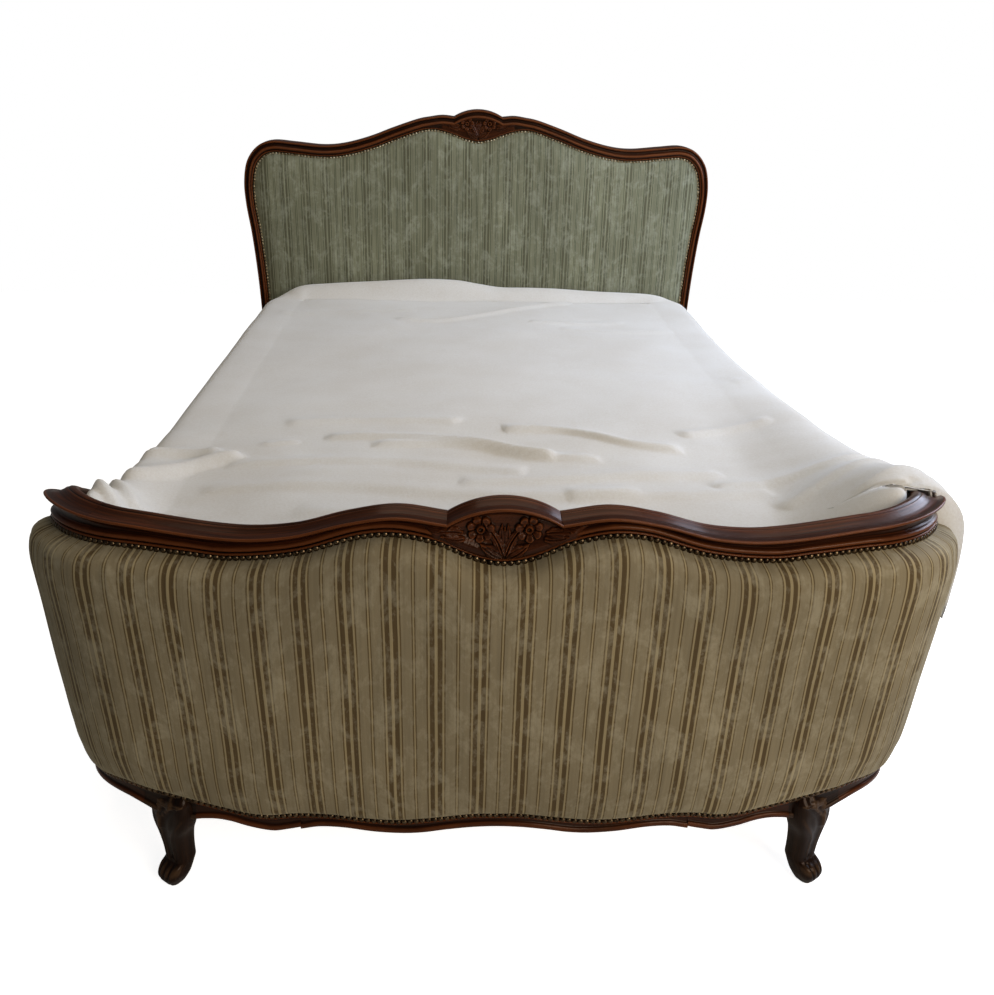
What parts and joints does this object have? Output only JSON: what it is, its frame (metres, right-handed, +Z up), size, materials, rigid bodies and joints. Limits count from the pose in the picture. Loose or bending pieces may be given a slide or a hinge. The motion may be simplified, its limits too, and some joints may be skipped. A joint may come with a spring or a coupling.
{
  "type": "basket bed",
  "caption": "Carved walnut basket bed: nailed velvet headboard, bowed upholstered footboard with curved returns, slatted base, mattress and a loosely laid cover.",
  "frame": {"origin": "on the floor, at the middle of the bed's length and width", "axes": "+Z up, +Y from the footboard to the headboard, +X to the right seen from the foot"},
  "size_m": [1.544, 2.078, 1.171],
  "materials": {
    "walnut": "waxed and polished walnut, worn lighter on the edges",
    "walnut_dark": "dark waxed walnut",
    "pine": "bare planed softwood",
    "velvet_foot": "striped and crushed velvet",
    "velvet_head": "striped and crushed velvet, greyer green",
    "lining": "plain linen",
    "ticking": "plain ticking",
    "cotton": "soft washed cotton",
    "brass": "aged brass",
    "steel": "dull steel"
  },
  "bodies": {
    "bed": {"headboard_top_rail": "walnut", "headboard_stile_left": "walnut", "headboard_stile_right": "walnut", "headboard_crest": "walnut", "foot_top_rail": "walnut", "foot_top_return_left": "walnut", "foot_top_return_right": "walnut", "foot_crest": "walnut", "foot_bottom_rail": "walnut", "foot_bottom_return_left": "walnut", "foot_bottom_return_right": "walnut", "side_rail_left": "walnut", "side_rail_right": "walnut", "headboard_lower_rail": "walnut_dark", "front_leg_left": "walnut_dark", "front_leg_right": "walnut_dark", "foot_end_post_left": "walnut_dark", "foot_end_post_right": "walnut_dark", "foot_uprights": "walnut_dark", "headboard_panel": "pine", "foot_panel": "pine", "foot_bearer": "pine", "bearer_left": "pine", "bearer_right": "pine", "slat_1": "pine", "slat_2": "pine", "slat_3": "pine", "slat_4": "pine", "slat_5": "pine", "slat_6": "pine", "slat_7": "pine", "slat_8": "pine", "slat_9": "pine", "slat_10": "pine", "slat_11": "pine", "slat_12": "pine", "slat_13": "pine", "foot_outer_pad": "velvet_foot", "headboard_pad": "velvet_head", "foot_inner_pad": "lining", "headboard_nails": "brass", "foot_top_nails": "brass", "foot_bottom_nails": "brass", "bearer_screws": "steel", "bed_hooks": "steel", "catch_plates": "steel"},
    "bedding": {"mattress": "ticking", "mattress_cover": "cotton"}
  },
  "joints": [
    {"name": "mattress_lift", "type": "slide", "parent": "bed", "child": "bedding", "axis": [0, 0, 1], "range_m": [0, 0.45]}
  ]
}
